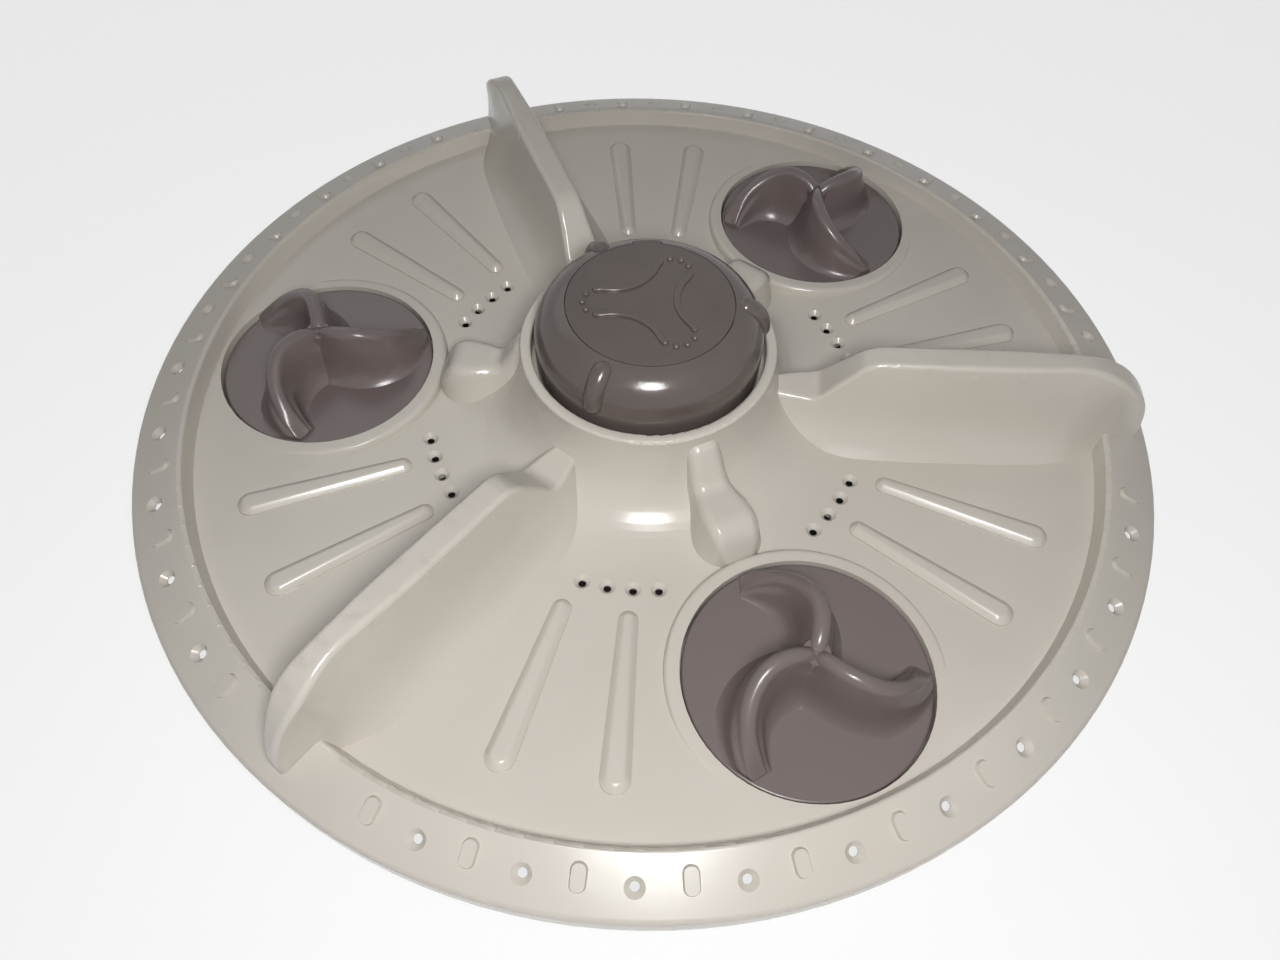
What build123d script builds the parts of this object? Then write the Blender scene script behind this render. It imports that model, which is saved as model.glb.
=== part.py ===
from build123d import *
import os
from math import atan, cos, degrees, radians, sin

os.makedirs("parts", exist_ok=True)

# Millimetres, +Z up, the plate rests on z = 0 and turns about Z.
# Paddle 0 points along +X. Small pulsators stand halfway between the paddles.

# Layout
SECTORS = 3
SECTOR_ANGLE = 360 / SECTORS
PULSATOR_ANGLE = SECTOR_ANGLE / 2

# Plate: rim
OUTER_R = 200.0
LIP_BOTTOM_Z = 12.0
LIP_RADIUS = 2.4
CREST_R = 181.8
CREST_Z = 27.0
CREST_ROUND = 1.6
FLANGE_DROP = 6.6
DISH_EDGE_R = 178.0
DISH_EDGE_Z = 19.3
WALL = 2.6

# Plate: dish and hub
DISH_INNER_R = 88.0
DISH_INNER_Z = 14.2
COLLAR_R = 49.4
COLLAR_TOP_Z = 48.9
COLLAR_WALL = 4.2
COLLAR_ROUND = 1.2
COLLAR_FOOT_Z = 44.5
CONE_STEEP = 21.0
CONE_SPREAD = 24.0
CONE_LEAN = 1.6
DECK_Z = 40.0
DECK_WALL = 3.0
BOSS_R = 20.0
WELL_R = 16.0
WELL_FLOOR_Z = 25.0
CAP_RING_WALL = 2.0
CAP_RING_HEIGHT = 5.0
CAP_RING_GAP = 0.3

# Plate: underside ribs
REST_RING_R = 81.0
REST_RING_WALL = 2.4
UNDER_RIB_WALL = 2.2
UNDER_RIB_COUNT = 6
UNDER_RIB_START = 30.0
UNDER_RIB_Z = 7.0
UNDER_RIB_END_R = 177.0

# Plate: paddles, half widths from the foot up and shape shares along the radius
BLADE_LOW_Z = 2.0
BLADE_SPAN = 80.0
PADDLE_ROOT_R = 42.0
PADDLE_HUB_R = 47.0
PADDLE_NECK_R = 62.0
PADDLE_SHOULDER_R = 84.0
PADDLE_BELLY_IN_R = 112.0
PADDLE_BELLY_OUT_R = 146.0
PADDLE_BOW_R = 166.0
PADDLE_STEM_R = 182.0
PADDLE_END_R = 202.0
PADDLE_LEAST_HALF = 4.4
PADDLE_NECK_SHARE = 0.75
PADDLE_SHOULDER_SHARE = 0.93
PADDLE_BOW_SHARE = 0.88
PADDLE_STEM_SHARE = 0.46
PADDLE_FOOT_Z = 6.0
PADDLE_FOOT_HALF = 31.0
PADDLE_FLARE_Z = 14.0
PADDLE_FLARE_HALF = 22.8
PADDLE_ANKLE_Z = 20.0
PADDLE_ANKLE_HALF = 16.4
PADDLE_SHIN_Z = 28.0
PADDLE_SHIN_HALF = 11.2
PADDLE_WAIST_Z = 42.0
PADDLE_WAIST_HALF = 7.2
PADDLE_HEAD_Z = 64.0
PADDLE_HEAD_HALF = 5.2
PADDLE_NECK_END_R = 67.0
PADDLE_CREST_IN_R = 84.0
PADDLE_CREST_OUT_R = 156.0
PADDLE_TIP_R = 194.5
PADDLE_NECK_Z = 32.0
PADDLE_CREST_IN_Z = 52.0
PADDLE_CREST_OUT_Z = 58.8
PADDLE_TIP_Z = 23.2
PADDLE_NECK_ROUND = 7.0
PADDLE_KNEE_ROUND = 14.0
PADDLE_EDGE = 2.2
PADDLE_WALL = 3.0
PADDLE_HOLLOW_IN_R = 60.0
PADDLE_HOLLOW_OUT_R = 183.0
PADDLE_HOLLOW_OUT_Z = 45.0
PADDLE_HOLLOW_FOOT_HALF = 17.0

# Plate: short fins in front of the small pulsators
FIN_ROOT_R = 40.0
FIN_COLLAR_R = 52.0
FIN_NIP_R = 59.0
FIN_SWELL_R = 67.0
FIN_BULB_R = 75.0
FIN_CHEEK_R = 81.5
FIN_END_R = 86.5
FIN_LEAST_HALF = 5.0
FIN_COLLAR_SHARE = 0.84
FIN_NIP_SHARE = 0.78
FIN_SWELL_SHARE = 0.95
FIN_CHEEK_SHARE = 0.78
FIN_FOOT_HALF = 15.0
FIN_FLARE_Z = 14.0
FIN_FLARE_HALF = 13.2
FIN_WAIST_Z = 22.0
FIN_WAIST_HALF = 11.0
FIN_HEAD_Z = 48.0
FIN_HEAD_HALF = 9.0
FIN_NECK_R = 51.0
FIN_SADDLE_R = 60.0
FIN_CREST_R = 73.0
FIN_TIP_R = 85.5
FIN_NECK_Z = 43.8
FIN_TOP_Z = 29.6
FIN_RISE = 0.9
FIN_TIP_Z = 12.5
FIN_NECK_ROUND = 5.0
FIN_SADDLE_ROUND = 6.0
FIN_EDGE = 4.5
FIN_WALL = 3.2
FIN_HOLLOW_IN_R = 46.9
FIN_HOLLOW_OUT_R = 80.0
FIN_HOLLOW_OUT_Z = 22.0

# Plate: teardrop ribs on the dish
TEAR_IN_R = 102.0
TEAR_OUT_R = 158.3
TEAR_IN_HALF = 3.5
TEAR_OUT_HALF = 5.1
TEAR_HEIGHT = 2.3
TEAR_CHAMFER = 1.6
TEAR_NEAR_ANGLE = 27.5
TEAR_FAR_ANGLE = 41.0

# Plate: drain holes
DRAIN_RING_R = 89.2
DRAIN_NEAR_ANGLE = 21.0
DRAIN_PITCH = 6.0
DRAIN_PER_SIDE = 4
DRAIN_R = 1.45
DRAIN_MOUTH_R = 3.1

# Plate: rim pads and rim holes
RIM_PITCH = 10.0
RIM_COUNT = 36
PAD_RING_R = 188.9
PAD_WIDTH = 6.0
PAD_LENGTH = 9.6
PAD_HEIGHT = 1.0
PAD_CORNER = 2.8
PAD_DRAFT = 20.0
RIM_HOLE_RING_R = 190.4
RIM_HOLE_R = 1.5
RIM_HOLE_MOUTH_R = 3.5

# Small pulsators and their pockets
PULSATOR_RING_R = 133.5
PULSATOR_R = 42.6
PULSATOR_TOP_Z = 17.0
PULSATOR_DISC = 3.0
PULSATOR_EDGE_ROUND = 1.0
POCKET_GAP = 0.6
POCKET_WALL = 3.0
POCKET_FLOOR_Z = 11.6
POCKET_FLOOR = 2.8
BEAD_WIDTH = 5.2
BEAD_TOP_Z = 18.4
BEAD_ROUND = 2.2
BEAD_FOOT_Z = 12.5
BEAD_LEAN = 0.8
PIVOT_BOSS_R = 12.0
PIVOT_BOSS_Z = 4.0
PIVOT_GUSSETS = 6
PIVOT_GUSSET_WALL = 2.0

# Swirl arms
ARMS = 3
ARM_TIP_R = 37.5
ARM_END_R = 39.6
ARM_CENTRE_HEIGHT = 18.9
ARM_SWELL = 26.2
ARM_FALL = 38.4
ARM_SWEEP = 86.0
ARM_UNBEND = 41.6
ARM_TOP_HALF = 3.4
ARM_FOOT_HALF = 10.6
ARM_FOOT_TIP = 4.2
ARM_EDGE = 3.6
ARM_HUB_TOP_R = 4.6
ARM_HUB_FOOT_R = 13.0
PULSATOR_TURNS = {"a": 67.0, "b": 28.5, "c": 2.9}

# Pivots
SHAFT_R = 6.0
SHAFT_END_Z = 3.8
SHAFT_SHOULDER_R = 10.0
RUNNING_CLEARANCE = 0.05
AXIAL_PLAY = 0.2
BUSH_OUTER_R = 8.0
BUSH_FLANGE_R = 11.0
BUSH_FLANGE = 1.2
WASHER_R = 10.0
WASHER = 1.4
SCREW_R = 2.0
SCREW_LENGTH = 11.0
SCREW_HEAD_R = 4.2
SCREW_HEAD = 1.7
SCREW_SLOT_HALF = 0.5
SCREW_SLOT_DEPTH = 0.8
SCREW_CLEARANCE = 0.1

# Drive bush
DRIVE_R = 12.0
DRIVE_TOP_Z = 21.0
DRIVE_FLANGE_R = 15.0
DRIVE_FLANGE = 3.0
DRIVE_FLANGE_Z = 8.0
SPLINE_ROOT_R = 5.0
SPLINE_TIP_R = 6.0
SPLINE_TEETH = 12
SPLINE_DEPTH = 15.0
FIXING_R = 4.3

# Cap
CAP_TURN = 8.0
CAP_R = 43.5
CAP_TOP_Z = 69.0
CAP_WAIST_Z = 52.0
CAP_WALL = 2.5
CAP_BULGE = 11.0
CAP_SLOPE = 5.5
DISC_R = 31.1
DISC_THICK = 2.6
DISC_GAP = 0.35
DISC_LEDGE = 2.6
TAB_ANGLE = 90.0
TAB_HALF = 5.4
TAB_REACH = 1.9
KNUCKLE_R = 4.0
KNUCKLE_LOW_Z = 55.6
KNUCKLE_HIGH_Z = 65.4
KNUCKLE_LOW_R = 41.8
KNUCKLE_HIGH_R = 35.4
KNUCKLE_BOW = 1.7
LOBE_CENTRE_R = 18.3
LOBE_R = 6.5
LOBE_WAIST_R = 9.8
LOBE_LINE_HALF = 1.3
LOBE_LINE_HEIGHT = 1.2
LOBE_LINE_ROUND = 0.8
LOBE_BEADS = 5
LOBE_BEAD_R = 1.3
LOBE_BEAD_ARC = 150.0

DISH_SLOPE = (DISH_EDGE_Z - DISH_INNER_Z) / (DISH_EDGE_R - DISH_INNER_R)
FLANGE_SLOPE = FLANGE_DROP / (OUTER_R - CREST_R)
FLANGE_TILT = degrees(atan(FLANGE_SLOPE))
DISH_TILT = degrees(atan(DISH_SLOPE))


def at(r, z):
    """Point of a turned profile."""
    return (r, 0, z)


def dish_z(r):
    """Height of the dish floor."""
    return DISH_INNER_Z + (r - DISH_INNER_R) * DISH_SLOPE


def flange_z(r):
    """Height of the sloping rim."""
    return CREST_Z - (r - CREST_R) * FLANGE_SLOPE


def bow(value, start, end, power):
    """Fall from 1 at start to 0 at end along a rounded quarter."""
    t = min(max((value - start) / (end - start), 0), 1)
    return (1 - t**power) ** (1 / power)


def turned(edges):
    """Solid of revolution about Z from a closed profile."""
    return revolve(make_face(edges), axis=Axis.Z)


def around(shape, count=SECTORS, start=0.0):
    """Copies of a shape, evenly turned about Z."""
    return [Rot(0, 0, start + 360 / count * i) * shape for i in range(count)]


def crest_section(frame, foot_half, top_half, foot_z, top_z, low_z, edge):
    """Cross-section of a moulded blade: flared foot, leaning flank, rounded crest."""
    rise = top_z - foot_z
    lean = foot_half - top_half
    edge = min(edge, 0.3 * rise)
    right = [
        (foot_half, foot_z),
        (top_half + 0.52 * lean, foot_z + 0.2 * rise),
        (top_half + 0.2 * lean, foot_z + 0.6 * rise),
        (top_half, top_z - edge),
        (top_half - 0.3 * min(edge, top_half), top_z - 0.3 * edge),
        (0.35 * top_half, top_z - 0.03 * edge),
    ]
    left = [(-x, y) for x, y in reversed(right)]
    place = [frame.from_local_coords(Vector(x, y, 0)) for x, y in right + left]
    low_right = frame.from_local_coords(Vector(foot_half, low_z, 0))
    low_left = frame.from_local_coords(Vector(-foot_half, low_z, 0))
    edges = [
        Line(low_right, place[0]),
        Spline(*place),
        Line(place[-1], low_left),
        Line(low_left, low_right),
    ]
    return make_face(edges)


def plan_outline(z, half, shares, root_r, end_r, least):
    """Plan outline of a blade at height z. Shares of the half width are given along the radius."""
    left = [(r, max(half * share, least)) for r, share in shares]
    right = [(r, -y) for r, y in reversed(left)]
    return Pos(0, 0, z) * make_face(Spline((root_r, 0), *left, (end_r, 0), *right, periodic=True))


def under_line(edges):
    """Everything under a line seen from the side, BLADE_SPAN wide."""
    frame = Plane(origin=(0, BLADE_SPAN / 2, 0), x_dir=(1, 0, 0), z_dir=(0, -1, 0))
    return extrude(frame * make_face(edges), BLADE_SPAN)


def blade(levels, shares, root_r, end_r, least, crest, tip, rounds, edge):
    """Upright blade along +X: flared plan outlines cut by a crest line, crest edges rounded."""
    wall = loft([plan_outline(z, half, shares, root_r, end_r, least) for z, half in levels])
    start = Vector(*crest[-1])
    end = Vector(*tip)
    along = (start - Vector(*crest[-2])).normalized()
    nose = Bezier(
        start,
        start + along * 0.6 * (end.X - start.X),
        end + Vector(0, 0.55 * (start.Y - end.Y)),
        end,
    )
    under = Polyline(end, (end.X, BLADE_LOW_Z), (crest[0][0], BLADE_LOW_Z), crest[0])
    body = wall & under_line([FilletPolyline(*crest, radius=rounds), nose, under])
    top = body.edges().filter_by(lambda e: abs(e.center().Y) > 1 and e.center().Z > DISH_EDGE_Z)
    top = [e for e in top if e.center().X > crest[0][0] + 0.5]
    return fillet(top, edge)


def blade_hollow(levels, shares, root_r, end_r, line, wall):
    """Space inside a blade, one wall in from its flanks and under a straight-edged line."""
    outlines = []
    for z, half in levels:
        inner = half - wall
        left = [(root_r, inner * shares[0][1])]
        left += [(r, inner * share) for r, share in shares if root_r < r < end_r]
        left += [(end_r, inner * shares[-1][1])]
        right = [(r, -y) for r, y in reversed(left)]
        outlines.append(Pos(0, 0, z) * make_face(Polyline(*left, *right, close=True)))
    under = [(line[-1][0], -BLADE_LOW_Z), (line[0][0], -BLADE_LOW_Z)]
    return loft(outlines, ruled=True) & under_line(Polyline(*line, *under, close=True))


PADDLE_SHARES = [
    (PADDLE_NECK_R, PADDLE_NECK_SHARE),
    (PADDLE_SHOULDER_R, PADDLE_SHOULDER_SHARE),
    (PADDLE_BELLY_IN_R, 1.0),
    (PADDLE_BELLY_OUT_R, 1.0),
    (PADDLE_BOW_R, PADDLE_BOW_SHARE),
    (PADDLE_STEM_R, PADDLE_STEM_SHARE),
]
PADDLE_UPPER = [
    (PADDLE_ANKLE_Z, PADDLE_ANKLE_HALF),
    (PADDLE_SHIN_Z, PADDLE_SHIN_HALF),
    (PADDLE_WAIST_Z, PADDLE_WAIST_HALF),
    (PADDLE_HEAD_Z, PADDLE_HEAD_HALF),
]
FIN_SHARES = [
    (FIN_COLLAR_R, FIN_COLLAR_SHARE),
    (FIN_NIP_R, FIN_NIP_SHARE),
    (FIN_SWELL_R, FIN_SWELL_SHARE),
    (FIN_BULB_R, 1.0),
    (FIN_CHEEK_R, FIN_CHEEK_SHARE),
]
FIN_LEVELS = [
    (0, FIN_FOOT_HALF),
    (FIN_FLARE_Z, FIN_FLARE_HALF),
    (FIN_WAIST_Z, FIN_WAIST_HALF),
    (FIN_HEAD_Z, FIN_HEAD_HALF),
]


def paddle():
    """One paddle along +X."""
    levels = [(PADDLE_FOOT_Z, PADDLE_FOOT_HALF), (PADDLE_FLARE_Z, PADDLE_FLARE_HALF)] + PADDLE_UPPER
    crest = [
        (PADDLE_HUB_R, PADDLE_NECK_Z),
        (PADDLE_NECK_END_R, PADDLE_NECK_Z),
        (PADDLE_CREST_IN_R, PADDLE_CREST_IN_Z),
        (PADDLE_CREST_OUT_R, PADDLE_CREST_OUT_Z),
    ]
    return blade(
        levels, PADDLE_SHARES, PADDLE_ROOT_R, PADDLE_END_R, PADDLE_LEAST_HALF, crest,
        (PADDLE_TIP_R, PADDLE_TIP_Z), (PADDLE_NECK_ROUND, PADDLE_KNEE_ROUND), PADDLE_EDGE,
    )


def paddle_hollow():
    """Space inside a paddle."""
    foot = [(-2 * BLADE_LOW_Z, PADDLE_HOLLOW_FOOT_HALF), (PADDLE_FLARE_Z, PADDLE_HOLLOW_FOOT_HALF)]
    drop = PADDLE_WALL
    line = [
        (PADDLE_HOLLOW_IN_R, PADDLE_NECK_Z - drop),
        (PADDLE_NECK_END_R + drop / 2, PADDLE_NECK_Z - drop),
        (PADDLE_CREST_IN_R + drop / 2, PADDLE_CREST_IN_Z - drop),
        (PADDLE_CREST_OUT_R, PADDLE_CREST_OUT_Z - drop),
        (PADDLE_HOLLOW_OUT_R - drop, PADDLE_HOLLOW_OUT_Z),
        (PADDLE_HOLLOW_OUT_R, PADDLE_TIP_Z),
    ]
    return blade_hollow(
        foot + PADDLE_UPPER, PADDLE_SHARES, PADDLE_HOLLOW_IN_R, PADDLE_HOLLOW_OUT_R, line, drop
    )


def fin():
    """One short fin along +X."""
    crest = [
        (FIN_ROOT_R - WALL, FIN_NECK_Z),
        (FIN_NECK_R, FIN_NECK_Z),
        (FIN_SADDLE_R, FIN_TOP_Z),
        (FIN_CREST_R, FIN_TOP_Z + FIN_RISE),
    ]
    return blade(
        FIN_LEVELS, FIN_SHARES, FIN_ROOT_R, FIN_END_R, FIN_LEAST_HALF, crest,
        (FIN_TIP_R, FIN_TIP_Z), (FIN_NECK_ROUND, FIN_SADDLE_ROUND), FIN_EDGE,
    )


def fin_hollow():
    """Space inside a fin."""
    levels = [(-2 * BLADE_LOW_Z, FIN_FLARE_HALF)] + FIN_LEVELS[1:]
    line = [
        (FIN_HOLLOW_IN_R, FIN_NECK_Z - FIN_WALL),
        (FIN_NECK_R - FIN_WALL, FIN_NECK_Z - FIN_WALL),
        (FIN_SADDLE_R - FIN_WALL / 2, FIN_TOP_Z - FIN_WALL),
        (FIN_CREST_R, FIN_TOP_Z - FIN_WALL),
        (FIN_HOLLOW_OUT_R, FIN_HOLLOW_OUT_Z),
        (FIN_HOLLOW_OUT_R, BLADE_LOW_Z),
    ]
    return blade_hollow(levels, FIN_SHARES, FIN_HOLLOW_IN_R, FIN_HOLLOW_OUT_R, line, FIN_WALL)


def plate_outside():
    """Everything under the upper surface of the plate, turned."""
    foot = Vector(at(COLLAR_R, COLLAR_FOOT_Z))
    dish = Vector(at(DISH_INNER_R, DISH_INNER_Z))
    cone = Bezier(
        foot,
        foot + Vector(CONE_LEAN, 0, -CONE_STEEP),
        dish - Vector(CONE_SPREAD, 0, CONE_SPREAD * DISH_SLOPE),
        dish,
    )
    collar = FilletPolyline(
        at(0, DECK_Z),
        at(COLLAR_R - COLLAR_WALL, DECK_Z),
        at(COLLAR_R - COLLAR_WALL, COLLAR_TOP_Z),
        at(COLLAR_R, COLLAR_TOP_Z),
        foot,
        radius=(0, COLLAR_ROUND, COLLAR_ROUND),
    )
    rim = FilletPolyline(
        dish,
        at(DISH_EDGE_R, DISH_EDGE_Z),
        at(CREST_R - CREST_ROUND, CREST_Z),
        at(OUTER_R, flange_z(OUTER_R)),
        at(OUTER_R, LIP_BOTTOM_Z),
        radius=(0, CREST_ROUND, LIP_RADIUS),
    )
    under = Polyline(at(OUTER_R, LIP_BOTTOM_Z), at(0, LIP_BOTTOM_Z), at(0, DECK_Z))
    return turned([collar, cone, rim, under])


def plate_inside():
    """The open space under the shell of the plate, turned."""
    foot = Vector(at(COLLAR_R - WALL, DECK_Z - DECK_WALL))
    dish = Vector(at(DISH_INNER_R, DISH_INNER_Z - WALL))
    cone = Bezier(
        foot,
        foot + Vector(CONE_LEAN, 0, -CONE_STEEP + WALL),
        dish - Vector(CONE_SPREAD, 0, CONE_SPREAD * DISH_SLOPE),
        dish,
    )
    rim = Polyline(
        dish,
        at(DISH_EDGE_R + WALL / 2, DISH_EDGE_Z - WALL),
        at(CREST_R + WALL / 3, CREST_Z - WALL * 1.2),
        at(OUTER_R - WALL, flange_z(OUTER_R - WALL) - WALL),
        at(OUTER_R - WALL, -3),
    )
    rest = Polyline(
        at(OUTER_R - WALL, -3),
        at(0, -3),
        at(0, DECK_Z - DECK_WALL),
        foot,
    )
    return turned([cone, rim, rest])


def pocket_place(index):
    """Centre of a small pulsator on z = 0, local x pointing outward."""
    return Rot(0, 0, PULSATOR_ANGLE + SECTOR_ANGLE * index) * Pos(PULSATOR_RING_R, 0, 0)


def tilted(r, angle, z, tilt):
    """Frame on a sloping floor, local x outward along the slope."""
    return Rot(0, 0, angle) * Pos(r, 0, z) * Rot(0, tilt, 0)


def teardrop():
    """One teardrop rib on the dish at angle 0."""
    long = TEAR_OUT_R - TEAR_IN_R
    slant = degrees(atan((TEAR_OUT_HALF - TEAR_IN_HALF) / long))
    a = (TEAR_IN_HALF * sin(radians(-slant)), TEAR_IN_HALF * cos(radians(slant)))
    b = (long + TEAR_OUT_HALF * sin(radians(-slant)), TEAR_OUT_HALF * cos(radians(slant)))
    outline = [
        Line(a, b),
        ThreePointArc(b, (long + TEAR_OUT_HALF, 0), (b[0], -b[1])),
        Line((b[0], -b[1]), (a[0], -a[1])),
        ThreePointArc((a[0], -a[1]), (-TEAR_IN_HALF, 0), a),
    ]
    bar = extrude(make_face(outline), TEAR_HEIGHT + WALL / 2)
    bar = chamfer(bar.faces().sort_by(Axis.Z)[-1].edges(), TEAR_CHAMFER)
    return tilted(TEAR_IN_R, 0, dish_z(TEAR_IN_R), -DISH_TILT) * Pos(0, 0, -WALL / 2) * bar


def rim_pad():
    """One raised, drafted pad on the rim at angle 0."""
    foot = RectangleRounded(PAD_LENGTH, PAD_WIDTH, PAD_CORNER)
    pad = extrude(foot, PAD_HEIGHT + WALL / 2, taper=PAD_DRAFT)
    return tilted(PAD_RING_R, 0, flange_z(PAD_RING_R), FLANGE_TILT) * Pos(0, 0, -WALL / 2) * pad


def countersunk(hole_r, mouth_r):
    """Cutter for a countersunk hole whose mouth is at z = 0."""
    sink = mouth_r - hole_r
    above = WALL / 2
    cone = Pos(0, 0, (above - sink) / 2) * Cone(hole_r, mouth_r + above, sink + above)
    return cone + Cylinder(hole_r, 6 * WALL)


def near_paddle(angle, reach):
    """Whether an angle lies within reach of a paddle."""
    off = (angle + SECTOR_ANGLE / 2) % SECTOR_ANGLE - SECTOR_ANGLE / 2
    return abs(off) < reach


def wash_plate():
    """The whole plate as one moulding."""
    # Shell with paddles and fins, hollowed from below.
    inside = plate_inside()
    cap_space = Pos(0, 0, DECK_Z + (COLLAR_TOP_Z - DECK_WALL) / 2) * Cylinder(
        COLLAR_R - COLLAR_WALL / 2, COLLAR_TOP_Z
    )
    fins = around(fin() - cap_space, start=PULSATOR_ANGLE)
    body = plate_outside() + around(paddle()) + fins
    hollows = around(paddle_hollow()) + around(fin_hollow(), start=PULSATOR_ANGLE)
    body = body - inside - hollows

    # Hub boss, rest ring, ribs and pivot pockets under the shell.
    boss = Pos(0, 0, DECK_Z / 2) * Cylinder(BOSS_R, DECK_Z)
    ring = Pos(0, 0, DECK_Z / 2) * (
        Cylinder(REST_RING_R + REST_RING_WALL / 2, DECK_Z)
        - Cylinder(REST_RING_R - REST_RING_WALL / 2, DECK_Z)
    )
    rib_length = UNDER_RIB_END_R - BOSS_R + WALL
    rib = Pos(BOSS_R - WALL + rib_length / 2, 0, UNDER_RIB_Z + DECK_Z / 2) * Box(
        rib_length, UNDER_RIB_WALL, DECK_Z
    )
    bead_in = PULSATOR_R + POCKET_GAP
    bead_out = bead_in + BEAD_WIDTH
    cup_out = bead_in + POCKET_WALL
    cup_base = POCKET_FLOOR_Z - POCKET_FLOOR
    cup = Pos(0, 0, (cup_base + BEAD_FOOT_Z) / 2 + 0.5) * Cylinder(
        cup_out, BEAD_FOOT_Z - cup_base + 1
    )
    pivot = Pos(0, 0, (PIVOT_BOSS_Z + POCKET_FLOOR_Z) / 2) * Cylinder(
        PIVOT_BOSS_R, POCKET_FLOOR_Z - PIVOT_BOSS_Z
    )
    gusset_length = cup_out - PIVOT_BOSS_R
    gusset = Pos(PIVOT_BOSS_R + gusset_length / 2 - 1, 0, UNDER_RIB_Z + 1) * Box(
        gusset_length, PIVOT_GUSSET_WALL, POCKET_FLOOR_Z - UNDER_RIB_Z - 1
    )
    web = (ring + around(rib, UNDER_RIB_COUNT, UNDER_RIB_START)) & inside
    body = body + boss + (web - hollows)
    bead = turned(
        [
            FilletPolyline(
                at(0, BEAD_FOOT_Z),
                at(bead_out + BEAD_LEAN, BEAD_FOOT_Z),
                at(bead_out, BEAD_TOP_Z),
                at(0, BEAD_TOP_Z),
                radius=(0, BEAD_ROUND),
            ),
            Line(at(0, BEAD_TOP_Z), at(0, BEAD_FOOT_Z)),
        ]
    )
    pocket = bead + cup + pivot + around(gusset, PIVOT_GUSSETS)
    body = body + [pocket_place(i) * pocket for i in range(SECTORS)]

    # Teardrop ribs on the dish and pads on the rim.
    tears = []
    for side in (-TEAR_FAR_ANGLE, -TEAR_NEAR_ANGLE, TEAR_NEAR_ANGLE, TEAR_FAR_ANGLE):
        tears += around(teardrop(), start=PULSATOR_ANGLE + side)
    pads = []
    for i in range(RIM_COUNT):
        if not near_paddle(i * RIM_PITCH, RIM_PITCH / 2):
            pads.append(Rot(0, 0, i * RIM_PITCH) * rim_pad())
    body = body + tears + pads

    # Pockets, pivot bores, hub well, drive seat, drain holes and rim holes.
    recess = Pos(0, 0, POCKET_FLOOR_Z + DECK_Z / 2) * Cylinder(bead_in, DECK_Z)
    recess = recess + Cylinder(BUSH_OUTER_R, DECK_Z)
    cutters = [pocket_place(i) * recess for i in range(SECTORS)]
    well = Pos(0, 0, WELL_FLOOR_Z + DECK_Z / 2) * Cylinder(WELL_R, DECK_Z)
    cutters.append(well + drive_bush_outside() + Cylinder(FIXING_R, 3 * DECK_Z))
    cap_ring_r = CAP_R - CAP_WALL - CAP_RING_GAP
    cap_ring = Cylinder(cap_ring_r, CAP_RING_HEIGHT + WALL)
    cap_ring = cap_ring - Cylinder(cap_ring_r - CAP_RING_WALL, CAP_RING_HEIGHT + WALL)
    body = body + Pos(0, 0, DECK_Z + CAP_RING_HEIGHT / 2 - WALL / 2) * cap_ring

    drain = tilted(DRAIN_RING_R, 0, dish_z(DRAIN_RING_R), -DISH_TILT)
    drain = drain * countersunk(DRAIN_R, DRAIN_MOUTH_R)
    for k in range(DRAIN_PER_SIDE):
        angle = DRAIN_NEAR_ANGLE + DRAIN_PITCH * k
        cutters += around(drain, start=PULSATOR_ANGLE + angle)
        cutters += around(drain, start=PULSATOR_ANGLE - angle)
    rim_hole = tilted(RIM_HOLE_RING_R, 0, flange_z(RIM_HOLE_RING_R), FLANGE_TILT)
    rim_hole = rim_hole * countersunk(RIM_HOLE_R, RIM_HOLE_MOUTH_R)
    for i in range(RIM_COUNT):
        angle = (i + 0.5) * RIM_PITCH
        if not near_paddle(angle, RIM_PITCH):
            cutters.append(Rot(0, 0, angle) * rim_hole)
    return body - cutters


def drive_bush_outside():
    """Outer form of the drive bush: a sleeve with a locking flange."""
    sleeve = Pos(0, 0, DRIVE_TOP_Z / 2) * Cylinder(DRIVE_R, DRIVE_TOP_Z)
    flange = Pos(0, 0, DRIVE_FLANGE_Z + DRIVE_FLANGE / 2) * Cylinder(DRIVE_FLANGE_R, DRIVE_FLANGE)
    return sleeve + flange


def drive_bush():
    """Metal insert with a serrated socket and a hole for the fixing screw."""
    profile = []
    half = 180 / SPLINE_TEETH
    for i in range(2 * SPLINE_TEETH):
        r = SPLINE_TIP_R if i % 2 else SPLINE_ROOT_R
        angle = radians(half * i)
        profile.append((r * cos(angle), r * sin(angle)))
    socket = extrude(make_face(Polyline(*profile, close=True)), SPLINE_DEPTH)
    return drive_bush_outside() - socket - Cylinder(FIXING_R, 3 * DRIVE_TOP_Z)


def arm_angle(r):
    """Turn of the arm crest at radius r, zero at the tip."""
    back = 1 - r / ARM_TIP_R
    return -ARM_SWEEP * back + ARM_UNBEND * back * back


def arm_height(r):
    """Height of the arm crest over the disc."""
    share = r / ARM_TIP_R
    return ARM_CENTRE_HEIGHT + ARM_SWELL * share - ARM_FALL * share * share


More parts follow.
